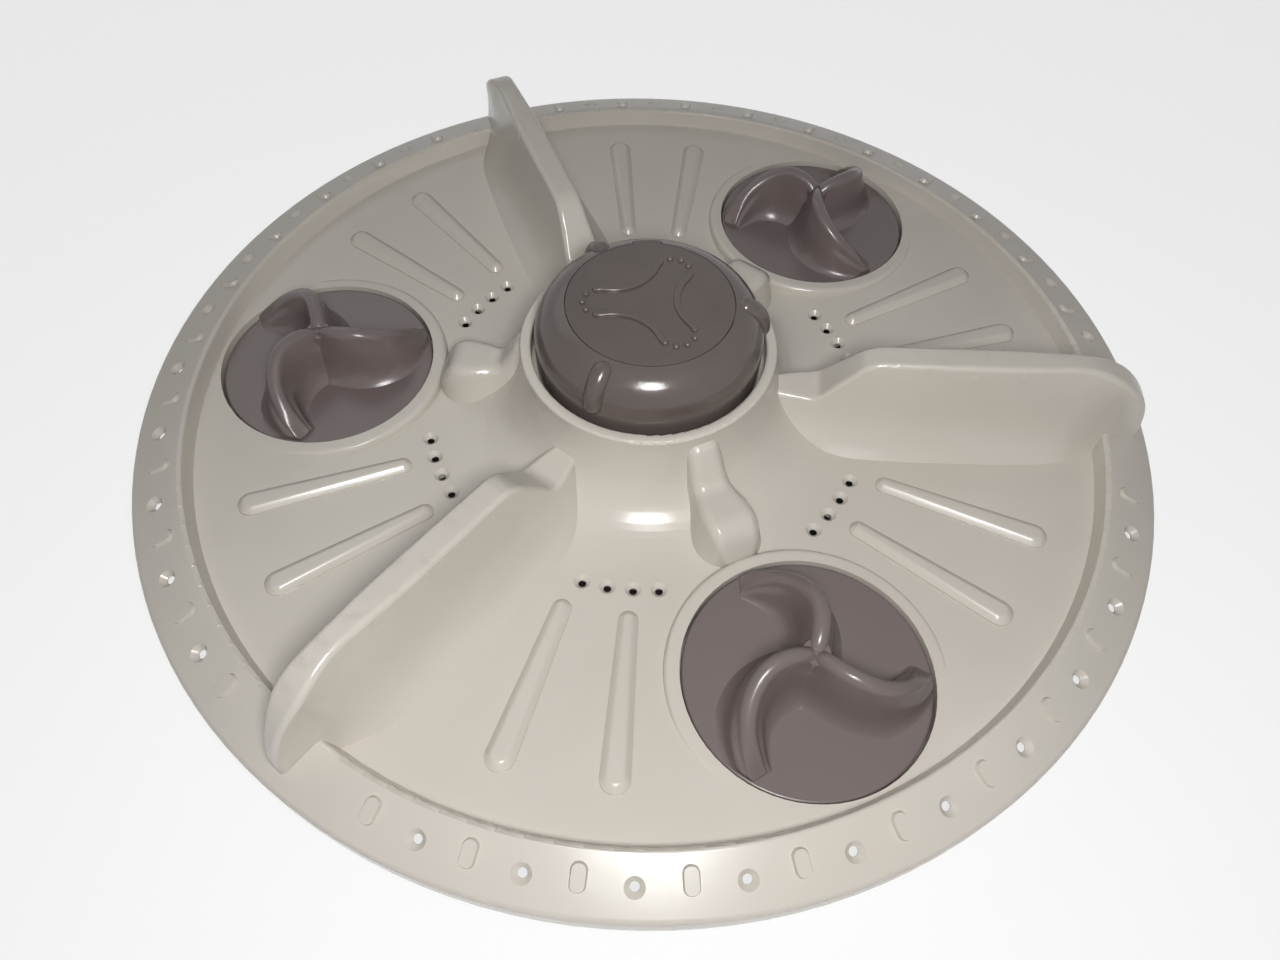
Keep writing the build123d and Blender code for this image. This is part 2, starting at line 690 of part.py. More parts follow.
def arm():
    """One swirl arm, lofted from cross-sections along its crest line."""
    sections = []
    steps = 8
    for i in range(steps + 1):
        r = 1.0 + (ARM_END_R - 1.0) * sin(radians(90 * i / steps))
        ahead = r + 0.1
        here = Vector(r * cos(radians(arm_angle(r))), r * sin(radians(arm_angle(r))))
        there = Vector(ahead * cos(radians(arm_angle(ahead))), ahead * sin(radians(arm_angle(ahead))))
        run = (there - here).normalized()
        frame = Plane(origin=here, x_dir=(-run.Y, run.X, 0), z_dir=run)
        taper = bow(r, 0.45 * ARM_TIP_R, ARM_END_R + 1.5, 1.9)
        foot = ARM_FOOT_TIP + (ARM_FOOT_HALF - ARM_FOOT_TIP) * taper
        head = min(ARM_TOP_HALF, 0.75 * foot)
        end = bow(r, 0.9 * ARM_TIP_R, ARM_END_R + 0.3, 2.0)
        top = max(arm_height(r) * end, 1.4)
        sections.append(crest_section(frame, foot, head, 0.0, top, -PULSATOR_DISC / 2, ARM_EDGE))
    return Pos(0, 0, PULSATOR_TOP_Z) * loft(sections)


def arm_hub():
    """Saddle where the swirl arms meet."""
    top = at(ARM_HUB_TOP_R, ARM_CENTRE_HEIGHT)
    foot = at(ARM_HUB_FOOT_R, 0)
    flank = Bezier(top, at(ARM_HUB_TOP_R, ARM_CENTRE_HEIGHT / 3), at(ARM_HUB_TOP_R * 1.6, 0.6), foot)
    low = -PULSATOR_DISC / 2
    rest = Polyline(foot, at(ARM_HUB_FOOT_R, low), at(0, low), at(0, ARM_CENTRE_HEIGHT), top)
    return Pos(0, 0, PULSATOR_TOP_Z) * turned([flank, rest])


def small_pulsator():
    """Disc with three swirl arms, shoulder and hollow stub shaft, about its own axis."""
    disc = Pos(0, 0, PULSATOR_TOP_Z - PULSATOR_DISC / 2) * Cylinder(PULSATOR_R, PULSATOR_DISC)
    disc = fillet(disc.edges().sort_by(Axis.Z)[-1], PULSATOR_EDGE_ROUND)
    reach = Pos(0, 0, PULSATOR_TOP_Z) * Cylinder(PULSATOR_R - PULSATOR_EDGE_ROUND, 4 * DECK_Z)
    body = disc + [a & reach for a in around(arm(), ARMS)] + arm_hub()
    bearing_z = POCKET_FLOOR_Z + BUSH_FLANGE + AXIAL_PLAY
    shoulder = PULSATOR_TOP_Z - bearing_z
    body = body + Pos(0, 0, bearing_z + shoulder / 2) * Cylinder(SHAFT_SHOULDER_R, shoulder)
    length = PULSATOR_TOP_Z - SHAFT_END_Z
    body = body + Pos(0, 0, SHAFT_END_Z + length / 2) * Cylinder(SHAFT_R, length)
    hole = SCREW_LENGTH + 1
    return body - Pos(0, 0, SHAFT_END_Z + hole / 2) * Cylinder(SCREW_R + SCREW_CLEARANCE, hole)


def pivot_bush():
    """Flanged sleeve pressed into the pivot boss, about its own axis."""
    length = POCKET_FLOOR_Z - PIVOT_BOSS_Z
    sleeve = Pos(0, 0, PIVOT_BOSS_Z + length / 2) * Cylinder(BUSH_OUTER_R, length)
    flange = Pos(0, 0, POCKET_FLOOR_Z + BUSH_FLANGE / 2) * Cylinder(BUSH_FLANGE_R, BUSH_FLANGE)
    return sleeve + flange - Cylinder(SHAFT_R + RUNNING_CLEARANCE, 4 * DECK_Z)


def retaining_washer():
    """Washer against the end of the stub shaft."""
    ring = Cylinder(WASHER_R, WASHER) - Cylinder(SCREW_R + SCREW_CLEARANCE, WASHER)
    return Pos(0, 0, SHAFT_END_Z - WASHER / 2) * ring


def retaining_screw():
    """Slotted pan-head screw, driven upward into the stub shaft."""
    seat = SHAFT_END_Z - WASHER
    head = Pos(0, 0, seat - SCREW_HEAD / 2) * Cylinder(SCREW_HEAD_R, SCREW_HEAD)
    head = fillet(head.edges().sort_by(Axis.Z)[0], SCREW_HEAD / 2)
    length = SCREW_LENGTH + WASHER
    shank = Pos(0, 0, seat + length / 2) * Cylinder(SCREW_R, length)
    slot = Box(2 * SCREW_HEAD_R, 2 * SCREW_SLOT_HALF, 2 * SCREW_SLOT_DEPTH)
    return head + shank - Pos(0, 0, seat - SCREW_HEAD) * slot


def tab_outline(grow):
    """Outline of the disc with its tab, on z = 0."""
    round_part = Circle(DISC_R + grow)
    reach = DISC_R + TAB_REACH + grow
    tab = Rot(0, 0, TAB_ANGLE) * Pos(reach / 2, 0) * Rectangle(reach, 2 * (TAB_HALF + grow))
    return round_part + (tab & Circle(reach))


def cap_dome():
    """Dome with a skirt over the cap ring, a ledge for the disc and three knuckles."""
    edge_r = DISC_R + DISC_GAP
    shoulder = Bezier(
        at(CAP_R, CAP_WAIST_Z),
        at(CAP_R, CAP_WAIST_Z + CAP_BULGE),
        at(edge_r + CAP_BULGE - CAP_SLOPE, CAP_TOP_Z - CAP_SLOPE / 3),
        at(edge_r, CAP_TOP_Z),
    )
    ledge_z = CAP_TOP_Z - DISC_THICK
    lining = Bezier(
        at(DISC_R - DISC_LEDGE, ledge_z - CAP_WALL),
        at(edge_r + CAP_BULGE - CAP_SLOPE - CAP_WALL, CAP_TOP_Z - CAP_SLOPE / 3 - CAP_WALL - 1),
        at(CAP_R - CAP_WALL, CAP_WAIST_Z + CAP_BULGE - CAP_WALL),
        at(CAP_R - CAP_WALL, CAP_WAIST_Z),
    )
    skirt = Polyline(
        at(CAP_R - CAP_WALL, CAP_WAIST_Z),
        at(CAP_R - CAP_WALL, DECK_Z),
        at(CAP_R, DECK_Z),
        at(CAP_R, CAP_WAIST_Z),
    )
    seat = Polyline(
        at(edge_r, CAP_TOP_Z),
        at(edge_r, ledge_z),
        at(DISC_R - DISC_LEDGE, ledge_z),
        at(DISC_R - DISC_LEDGE, ledge_z - CAP_WALL),
    )
    shell = turned([shoulder, seat, lining, skirt])
    low = Vector(at(KNUCKLE_LOW_R, KNUCKLE_LOW_Z))
    high = Vector(at(KNUCKLE_HIGH_R, KNUCKLE_HIGH_Z))
    run = (high - low).normalized()
    middle = (low + high) * 0.5 + Vector(run.Z, 0, -run.X) * KNUCKLE_BOW
    path = ThreePointArc(low, middle, high)
    start = Plane(origin=low, z_dir=path % 0)
    knuckle = sweep(start * Circle(KNUCKLE_R), path=path)
    knuckle = knuckle + Pos(low) * Sphere(KNUCKLE_R) + Pos(high) * Sphere(KNUCKLE_R)
    core = turned([lining, Polyline(
        at(CAP_R - CAP_WALL, CAP_WAIST_Z),
        at(CAP_R - CAP_WALL, 0),
        at(0, 0),
        at(0, CAP_TOP_Z + DISC_THICK),
        at(DISC_R - DISC_LEDGE, CAP_TOP_Z + DISC_THICK),
        at(DISC_R - DISC_LEDGE, ledge_z - CAP_WALL),
    )])
    ears = [k - core for k in around(knuckle, start=0)]
    opening = extrude(Pos(0, 0, ledge_z) * tab_outline(DISC_GAP), 3 * DISC_THICK)
    return Rot(0, 0, CAP_TURN) * (shell + ears - opening)


def lobe_outline(grow):
    """Closed line of three rounded lobes joined by hollow sides, moved outward by grow."""
    far = (LOBE_CENTRE_R**2 - (LOBE_R - LOBE_WAIST_R) ** 2) / (
        2 * LOBE_R - 2 * LOBE_WAIST_R + LOBE_CENTRE_R
    )
    hollow_r = far - LOBE_WAIST_R - grow
    lobe = Vector(LOBE_CENTRE_R, 0)
    side = Vector(far, 0).rotate(Axis.Z, PULSATOR_ANGLE)
    touch = side + (lobe - side).normalized() * hollow_r
    waist = side - side.normalized() * hollow_r
    edges = []
    for k in range(SECTORS):
        turn = SECTOR_ANGLE * k
        low = Vector(touch.X, -touch.Y).rotate(Axis.Z, turn)
        tip = Vector(LOBE_CENTRE_R + LOBE_R + grow, 0).rotate(Axis.Z, turn)
        high = touch.rotate(Axis.Z, turn)
        following = Vector(touch.X, -touch.Y).rotate(Axis.Z, turn + SECTOR_ANGLE)
        edges.append(ThreePointArc(low, tip, high))
        edges.append(ThreePointArc(high, waist.rotate(Axis.Z, turn), following))
    return make_face(edges)


def cap_disc():
    """Flat insert with a tab and a three-lobed raised line whose lobe ends are rows of beads."""
    plate = extrude(Pos(0, 0, CAP_TOP_Z - DISC_THICK) * tab_outline(0), DISC_THICK)
    line = extrude(
        lobe_outline(LOBE_LINE_HALF) - lobe_outline(-LOBE_LINE_HALF),
        LOBE_LINE_HEIGHT + DISC_THICK / 2,
    )
    line = fillet(line.faces().sort_by(Axis.Z)[-1].edges(), LOBE_LINE_ROUND)
    line = Pos(0, 0, CAP_TOP_Z - DISC_THICK / 2) * line
    ends_r = LOBE_CENTRE_R + LOBE_R * cos(radians(LOBE_BEAD_ARC / 2))
    end = Pos(ends_r + LOBE_R, 0, CAP_TOP_Z) * Box(2 * LOBE_R, 4 * LOBE_R, 4 * DISC_THICK)
    beads = []
    for i in range(LOBE_BEADS):
        angle = radians(LOBE_BEAD_ARC * (i / (LOBE_BEADS - 1) - 0.5))
        spot = Pos(LOBE_CENTRE_R + LOBE_R * cos(angle), LOBE_R * sin(angle), CAP_TOP_Z)
        beads.append(spot * Sphere(LOBE_BEAD_R))
    ornament = [line - around(end)]
    for bead in beads:
        ornament += around(bead)
    turn = Rot(0, 0, PULSATOR_ANGLE)
    return Rot(0, 0, CAP_TURN) * (plate + [turn * piece for piece in ornament])


def save(shape, name):
    """Write one sub-part."""
    export_step(shape, f"parts/{name}.step")


save(wash_plate(), "wash_plate")
save(drive_bush(), "drive_bush")
save(cap_dome(), "cap_dome")
save(cap_disc(), "cap_disc")

pulsator = small_pulsator()
for index, (name, turn) in enumerate(PULSATOR_TURNS.items()):
    spot = Pos(
        PULSATOR_RING_R * cos(radians(PULSATOR_ANGLE + SECTOR_ANGLE * index)),
        PULSATOR_RING_R * sin(radians(PULSATOR_ANGLE + SECTOR_ANGLE * index)),
        0,
    )
    spin = spot * Rot(0, 0, turn)
    save(spin * pulsator, f"small_pulsator_{name}")
    save(spot * pivot_bush(), f"pivot_bush_{name}")
    save(spin * retaining_washer(), f"retaining_washer_{name}")
    save(spin * retaining_screw(), f"retaining_screw_{name}")
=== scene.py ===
"""Looks of a dished wash plate with a capped hub and three free-turning small pulsators."""

import math

import bpy
from bpy.props import FloatProperty, FloatVectorProperty, PointerProperty
from mathutils import Matrix, Vector


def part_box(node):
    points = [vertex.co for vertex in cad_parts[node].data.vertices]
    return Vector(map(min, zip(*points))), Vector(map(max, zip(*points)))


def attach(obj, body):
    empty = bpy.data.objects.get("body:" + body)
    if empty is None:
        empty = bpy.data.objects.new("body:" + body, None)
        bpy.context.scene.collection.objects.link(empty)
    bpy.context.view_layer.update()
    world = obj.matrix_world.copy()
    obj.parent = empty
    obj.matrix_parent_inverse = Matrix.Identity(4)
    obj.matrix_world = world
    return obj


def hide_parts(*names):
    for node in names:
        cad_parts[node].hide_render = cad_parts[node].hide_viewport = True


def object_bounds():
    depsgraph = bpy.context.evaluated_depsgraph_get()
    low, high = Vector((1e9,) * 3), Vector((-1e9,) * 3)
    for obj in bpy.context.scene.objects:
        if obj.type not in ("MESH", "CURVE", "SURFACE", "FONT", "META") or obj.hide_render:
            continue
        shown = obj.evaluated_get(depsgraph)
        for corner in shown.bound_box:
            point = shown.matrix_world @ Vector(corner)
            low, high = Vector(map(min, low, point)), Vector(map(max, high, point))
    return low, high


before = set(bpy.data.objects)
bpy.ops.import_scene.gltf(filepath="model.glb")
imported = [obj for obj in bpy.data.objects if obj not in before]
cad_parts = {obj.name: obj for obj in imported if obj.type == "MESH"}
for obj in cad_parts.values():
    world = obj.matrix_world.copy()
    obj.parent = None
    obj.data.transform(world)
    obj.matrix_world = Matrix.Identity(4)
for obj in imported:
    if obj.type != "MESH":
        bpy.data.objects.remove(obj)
cad_low, cad_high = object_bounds()

bl_info = {
    "name": "Wash plate looks",
    "version": (1, 0, 0),
    "blender": (4, 5, 0),
    "location": "View3D > Sidebar > Wash plate",
    "description": "Gives a moulded wash plate its finishes and sets it on a studio floor",
    "category": "Object",
}

PIVOTS = ("a", "b", "c")

# Refraction of the plastics and pitch of the turning marks on metal
PLATE_IOR = 1.5
DARK_IOR = 1.52
BRASS_PITCH = 0.0006
STEEL_PITCH = 0.0005

# Colours of the pieces under the plate, clean and worn
BUSH_TONES = ((0.75, 0.74, 0.7, 1), (0.66, 0.645, 0.6, 1))
BRASS_TONES = ((0.62, 0.48, 0.24, 1), (0.42, 0.31, 0.16, 1))
STEEL_TONES = ((0.62, 0.62, 0.63, 1), (0.45, 0.45, 0.46, 1))

# Heights between which the crests of the paddles begin to be scuffed
CREST_LOW = 0.046
CREST_HIGH = 0.0585

# Points closer than this are one point, and wide faces lead the shading
MERGE_REACH = 2e-6
WIDE_FACE_LEAD = 100

# Stage: shares of the plate's radius between which the painted shadow on the floor under the plate
# fades out
SHADE_SHARES = (0.65, 0.87)
FLOOR_GAP = 0.0002
FLOOR_SIDES = 96
FLOOR_ROUGHNESS = 0.7
LAMP_AIM = (0, 0, 0.02)
FILL_PLACE = (-0.7, 0.7, 0.9)
FILL_SIZE = 0.9
SENSOR_MM = 36
CLIP_NEAR = 0.01

# Teardrop ribs on the dish, in metres. The dish line is given by radius and height at two places,
# and the turn is the least angle between a rib and the middle of the pocket next to it.
DISH_LINE = ((0.088, 0.0142), (0.178, 0.0193))
SECTOR = math.radians(120)
RIB_SPAN = (0.1, 0.162)
RIB_TURN = math.radians(24)
RIB_HEIGHT = 0.0023
RIB_SLACK = 0.0001
RIB_LEVEL = 0.995
RIB_CROWN = ((0.0008, 0.00045), (0.0006, 0.00015))


# Settings that a user would change


class PlateLook(bpy.types.PropertyGroup):
    """Finish of the pale moulding."""

    tone: FloatVectorProperty(
        name="Plate colour", description="Main colour of the plate", subtype="COLOR",
        size=4, min=0, max=1, default=(0.6, 0.56, 0.5, 1),
    )
    shade: FloatVectorProperty(
        name="Plate cloud colour", description="Colour the plate drifts towards", subtype="COLOR",
        size=4, min=0, max=1, default=(0.55, 0.51, 0.45, 1),
    )
    # Dark colour used twice: for painted shade in inside corners and for scuffs on the crests
    grime_and_corner_shade: FloatVectorProperty(
        name="Corner shade and grime", description="Colour of painted shade and film in corners, and of crest scuffs", subtype="COLOR",
        size=4, min=0, max=1, default=(0.3, 0.27, 0.22, 1),
    )
    gloss: FloatProperty(
        name="Plate roughness", description="Roughness of the clean gloss", min=0, max=1,
        default=0.2, subtype="FACTOR",
    )
    smooth: FloatProperty(
        name="Smooth angle", description="Edges flatter than this are shaded smooth",
        subtype="ANGLE", default=math.radians(28),
    )


class DarkLook(bpy.types.PropertyGroup):
    """Finish of the dark mouldings."""

    tone: FloatVectorProperty(
        name="Dark colour", description="Main colour of cap and small pulsators", subtype="COLOR",
        size=4, min=0, max=1, default=(0.118, 0.094, 0.086, 1),
    )
    shade: FloatVectorProperty(
        name="Dark cloud colour", description="Colour the dark plastic drifts towards",
        subtype="COLOR", size=4, min=0, max=1, default=(0.094, 0.075, 0.068, 1),
    )
    film: FloatVectorProperty(
        name="Dried film", description="Colour of dried soap in the corners", subtype="COLOR",
        size=4, min=0, max=1, default=(0.3, 0.28, 0.26, 1),
    )
    gloss: FloatProperty(
        name="Dark roughness", description="Roughness of the clean gloss", min=0, max=1,
        default=0.17, subtype="FACTOR",
    )
    smooth: FloatProperty(
        name="Smooth angle", description="Edges flatter than this are shaded smooth",
        subtype="ANGLE", default=math.radians(32),
    )


class StageLook(bpy.types.PropertyGroup):
    """Floor, light and camera."""

    floor: FloatVectorProperty(
        name="Floor colour", description="Colour of the pale floor", subtype="COLOR",
        size=4, min=0, max=1, default=(0.9, 0.9, 0.9, 1),
    )
    # Painted shadow: the floor under the plate is painted this dark colour
    shadow: FloatVectorProperty(
        name="Floor under the plate", description="Colour of the shadow painted on the floor under the plate",
        subtype="COLOR", size=4, min=0, max=1, default=(0.02, 0.02, 0.02, 1),
    )
    floor_size: FloatProperty(
        name="Floor size", description="Width of the round floor", unit="LENGTH", default=12,
    )
    wall: FloatProperty(
        name="Wall height", description="Height of the pale wall round the floor", unit="LENGTH",
        default=4,
    )
    sky: FloatProperty(
        name="Sky strength", description="Strength of the even light all round", default=0.22, min=0,
    )
    key: FloatProperty(
        name="Key power", description="Power of the lamp above the camera", unit="POWER", default=1.5,
    )
    key_size: FloatProperty(
        name="Key size", description="Width of the lamp above the camera", unit="LENGTH", default=0.13,
    )
    key_place: FloatVectorProperty(
        name="Key place", description="Where the lamp above the camera hangs", subtype="TRANSLATION",
        size=3, default=(0.045, -0.28, 0.37),
    )
    fill: FloatProperty(
        name="Fill power", description="Power of the wide lamp behind", unit="POWER", default=1.0,
    )
    glow: FloatProperty(
        name="Floor glow", description="How much of the floor seen by the eye is plain white",
        subtype="FACTOR", default=0.75, min=0, max=1,
    )
    eye: FloatVectorProperty(
        name="Camera place", description="Where the camera stands", subtype="TRANSLATION",
        size=3, default=(0.01831, -0.24046, 0.30786),
    )
    look_down: FloatProperty(
        name="Camera look-down", description="Angle below the horizon", subtype="ANGLE", default=0.974,
    )
    turn: FloatProperty(
        name="Camera turn", description="Turn about the drive axis", subtype="ANGLE",
        default=math.radians(4.72),
    )
    roll: FloatProperty(
        name="Camera roll", description="Tilt of the picture", subtype="ANGLE", default=0.0339,
    )
    lens: FloatProperty(
        name="Lens", description="Focal length on a 36 mm sensor", default=25.68, min=1,
    )


# Shader arithmetic


class Sock:
    """A shader socket that takes part in plain arithmetic."""

    def __init__(self, finish, socket):
        self.finish = finish
        self.socket = socket

    def math(self, operation, other=0.0, swap=False):
        """Adds a Math node of this socket and another value."""
        pair = (other, self) if swap else (self, other)
        return self.finish.node(
            "ShaderNodeMath", {"operation": operation}, {0: pair[0], 1: pair[1]}
        )

    def __add__(self, other):
        return self.math("ADD", other)

    def __radd__(self, other):
        return self.math("ADD", other, swap=True)

    def __sub__(self, other):
        return self.math("SUBTRACT", other)

    def __rsub__(self, other):
        return self.math("SUBTRACT", other, swap=True)

    def __mul__(self, other):
        return self.math("MULTIPLY", other)

    def __rmul__(self, other):
        return self.math("MULTIPLY", other, swap=True)

    def __pow__(self, other):
        return self.math("POWER", other)

    def sine(self):
        return self.math("SINE")

    def ease(self, start, end):
        """0 below start, 1 above end, smooth between."""
        return self.finish.node(
            "ShaderNodeMapRange",
            {"interpolation_type": "SMOOTHSTEP"},
            {"Value": self, "From Min": start, "From Max": end},
        )


class Finish:
    """Node tree of one material. Nodes are added as expressions use them."""

    def __init__(self, name):
        self.material = bpy.data.materials.new(name)
        self.material.use_nodes = True
        self.tree = self.material.node_tree
        self.shader = self.tree.nodes["Principled BSDF"]

    def feed(self, socket, value):
        """Links a socket to a Sock, or sets its plain value."""
        if isinstance(value, Sock):
            self.tree.links.new(value.socket, socket)
        else:
            socket.default_value = value

    def node(self, kind, settings=None, values=None, out=0):
        """Adds a node: its settings first, then its socket values, and returns one output."""
        made = self.tree.nodes.new(kind)
        for key, value in (settings or {}).items():
            setattr(made, key, value)
        for key, value in (values or {}).items():
            self.feed(made.inputs[key], value)
        return Sock(self, made.outputs[out])

    def place(self, centre=(0.0, 0.0, 0.0), stretch=(1.0, 1.0, 1.0)):
        """Object coordinates about a centre, stretched for streaks."""
        spot = self.node("ShaderNodeTexCoord", out="Object")
        shift = [-c * s for c, s in zip(centre, stretch)]
        return self.node(
            "ShaderNodeMapping", None, {"Vector": spot, "Location": shift, "Scale": stretch}
        )

    def parts(self, vector):
        """The x, y and z of a vector."""
        split = self.node("ShaderNodeSeparateXYZ", None, {"Vector": vector}).socket.node
        return [Sock(self, o) for o in split.outputs]

    def noise(self, vector, scale, detail=2.0):
        """Soft noise between 0 and 1."""
        return self.node(
            "ShaderNodeTexNoise", None, {"Vector": vector, "Scale": scale, "Detail": detail}
        )

    def mix(self, amount, first, second):
        """Colour between two colours."""
        return self.node(
            "ShaderNodeMix", {"data_type": "RGBA"}, {0: amount, 6: first, 7: second}, out=2
        )

    def corners(self, reach):
        """1 in inside corners, 0 on open surfaces."""
        open_sky = self.node(
            "ShaderNodeAmbientOcclusion",
            {"samples": 8, "only_local": True},
            {"Distance": reach},
            out="AO",
        )
        return 1 - open_sky

    def bump(self, height, strength, depth):
        """Small relief for the shader's normal."""
        return self.node(
            "ShaderNodeBump", None, {"Height": height, "Strength": strength, "Distance": depth}
        )

    def surface(self, **sockets):
        """Sets or links the shader's own sockets."""
        for key, value in sockets.items():
            self.feed(self.shader.inputs[key.replace("_", " ").title()], value)


def plate_plastic(look):
    """Warm off-white gloss moulding: soft clouding, orange peel, painted shade in corners broken into
    film patches, scuffed crests.
    """
    f = Finish("plate_plastic")
    spot = f.place()
    height = f.parts(spot)[2]
    cloud = f.noise(spot, scale=14, detail=3).ease(start=0.35, end=0.7)
    peel = f.noise(spot, scale=520)
    streaks = f.noise(f.place(stretch=(1, 1, 0.25)), scale=240, detail=4)
    crest = height.ease(start=CREST_LOW, end=CREST_HIGH)
    scuff = streaks.ease(start=0.52, end=0.72) * crest
    patches = f.noise(spot, scale=60, detail=4).ease(start=0.25, end=0.75)
    # Painted shade: inside corners, found by ambient occlusion, darken in patches towards the dark
    # grime colour
    film = f.corners(reach=0.007).ease(start=0.25, end=0.9) * patches
    colour = f.mix(cloud * 0.6, tuple(look.tone), tuple(look.shade))
    # Mixes in the painted corner shade
    colour = f.mix(film * 0.42, colour, tuple(look.grime_and_corner_shade))
    colour = f.mix(scuff * 0.22, colour, tuple(look.grime_and_corner_shade))
    f.surface(
        base_color=colour,
        roughness=look.gloss + cloud * 0.05 + film * 0.18 + scuff * 0.16,
        normal=f.bump(peel * 0.5 + scuff * 0.4, strength=0.05, depth=0.0006),
    )
    f.shader.inputs["IOR"].default_value = PLATE_IOR
    return f.material


def dark_plastic(look):
    """Dark taupe gloss moulding: faint clouding, dried film in corners, fine dust."""
    f = Finish("dark_plastic")
    spot = f.place()
    cloud = f.noise(spot, scale=26, detail=3).ease(start=0.3, end=0.75)
    peel = f.noise(spot, scale=640)
    dust = f.noise(spot, scale=900, detail=3).ease(start=0.66, end=0.8)
    patches = f.noise(spot, scale=110, detail=4).ease(start=0.3, end=0.75)
    film = f.corners(reach=0.006).ease(start=0.3, end=0.95) * patches
    colour = f.mix(cloud, tuple(look.tone), tuple(look.shade))
    colour = f.mix(film * 0.16 + dust * 0.08, colour, tuple(look.film))
    f.surface(
        base_color=colour,
        roughness=look.gloss + cloud * 0.05 + film * 0.2 + dust * 0.1,
        normal=f.bump(peel, strength=0.04, depth=0.0005),
    )
    f.shader.inputs["IOR"].default_value = DARK_IOR
    return f.material


def bush_plastic():
    """Pale bearing plastic, satin, with faint clouding and a fine grain."""
    f = Finish("bush_plastic")
    spot = f.place()
    cloud = f.noise(spot, scale=120, detail=3)
    grain = f.noise(spot, scale=1400)
    f.surface(
        base_color=f.mix(cloud, *BUSH_TONES),
        roughness=0.36 + grain * 0.14,
        normal=f.bump(grain, strength=0.05, depth=0.0003),
    )
    return f.material


def turned_metal(name, tones, centre, pitch):
    """Metal with fine turning rings about its own axis."""
    f = Finish(name)
    spot = f.place(centre)
    x, y = f.parts(spot)[:2]
    radius = (x * x + y * y) ** 0.5
    rings = (radius * (2 * math.pi / pitch)).sine() * 0.5 + 0.5
    tarnish = f.noise(spot, scale=260, detail=4).ease(start=0.35, end=0.75)
    f.surface(
        base_color=f.mix(tarnish, *tones),
        metallic=1.0,
        roughness=0.24 + rings * 0.08 + tarnish * 0.14,
        normal=f.bump(rings, strength=0.08, depth=0.0002),
    )
    return f.material


# Modelling helpers


def only(obj):
    """Makes one object the whole selection."""
    bpy.ops.object.select_all(action="DESELECT")
    obj.hide_set(False)
    obj.select_set(True)
    bpy.context.view_layer.objects.active = obj


def finish_piece(obj, material, body):
    """Gives a piece its material and the body it moves with."""
    obj.data.materials.clear()
    obj.data.materials.append(material)
    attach(obj, body)


def over_dish(point):
    """Height of a point above the straight line of the dish."""
    (near_r, near_z), (far_r, far_z) = DISH_LINE
    along = (math.hypot(point.x, point.y) - near_r) / (far_r - near_r)
    return point.z - near_z - along * (far_z - near_z)


def crown_ribs(piece):
    """Crowns the flat tops of the teardrop ribs, in edit mode."""
    bpy.ops.mesh.select_mode(type="FACE")
    bpy.ops.mesh.select_all(action="DESELECT")
    bpy.ops.object.mode_set(mode="OBJECT")
    for face in piece.data.polygons:
        spot = face.center
        turn = math.atan2(spot.y, spot.x) % SECTOR - SECTOR / 2
        on_rib = RIB_SPAN[0] < math.hypot(spot.x, spot.y) < RIB_SPAN[1] and abs(turn) > RIB_TURN
        at_top = abs(over_dish(spot) - RIB_HEIGHT) < RIB_SLACK
        face.select = on_rib and at_top and face.normal.z > RIB_LEVEL
    bpy.ops.object.mode_set(mode="EDIT")
    bpy.ops.mesh.dissolve_faces()
    for width, rise in RIB_CROWN:
        bpy.ops.mesh.inset(thickness=width, depth=rise)
    bpy.ops.mesh.quads_convert_to_tris()


def smooth_moulding(node, material, body, angle, shape=None):
    """Merged copy of a CAD node, shaped and shaded smooth, which stands for the node."""
    piece = bpy.data.objects.new("smooth_" + node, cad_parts[node].data.copy())
    bpy.context.scene.collection.objects.link(piece)
    only(piece)
    bpy.ops.object.mode_set(mode="EDIT")
    bpy.ops.mesh.select_all(action="SELECT")
    bpy.ops.mesh.remove_doubles(threshold=MERGE_REACH)
    if shape:
        shape(piece)
    bpy.ops.object.mode_set(mode="OBJECT")
    bpy.ops.mesh.customdata_custom_splitnormals_clear()
    bpy.ops.object.shade_smooth_by_angle(angle=angle)
    even = piece.modifiers.new("even shading", "WEIGHTED_NORMAL")
    even.keep_sharp = True
    even.weight = WIDE_FACE_LEAD
    bpy.ops.object.modifier_apply(modifier=even.name)
    finish_piece(piece, material, body)
    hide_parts(node)


def dress(node, material):
    """Gives a CAD node that stays a better material."""
    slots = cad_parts[node].data.materials
    slots.clear()
    slots.append(material)


# Operators, one for each piece or group of like pieces


class WASHPLATE_OT_plate(bpy.types.Operator):
    """Crowns the plate's ribs and gives it smooth shading and its moulded finish"""

    bl_idname = "washplate.plate"
    bl_label = "Pale plate"

    def execute(self, context):
        look = context.scene.washplate_plate
        smooth_moulding(
            "wash_plate", plate_plastic(look), "plate", look.smooth, crown_ribs
        )
        return {"FINISHED"}


class WASHPLATE_OT_cap(bpy.types.Operator):
    """Gives the hub cap and its disc smooth shading and their dark finish"""

    bl_idname = "washplate.cap"
    bl_label = "Hub cap"

    def execute(self, context):
        look = context.scene.washplate_dark
        material = dark_plastic(look)
        smooth_moulding("cap_dome", material, "plate", look.smooth)
        smooth_moulding("cap_disc", material, "plate", look.smooth)
        return {"FINISHED"}


class WASHPLATE_OT_pulsators(bpy.types.Operator):
    """Gives the three small pulsators smooth shading and their dark finish"""

    bl_idname = "washplate.pulsators"
    bl_label = "Small pulsators"

    def execute(self, context):
        look = context.scene.washplate_dark
        material = bpy.data.materials.get("dark_plastic") or dark_plastic(look)
        for name in PIVOTS:
            smooth_moulding(
                f"small_pulsator_{name}", material, f"pulsator_{name}", look.smooth
            )
        return {"FINISHED"}


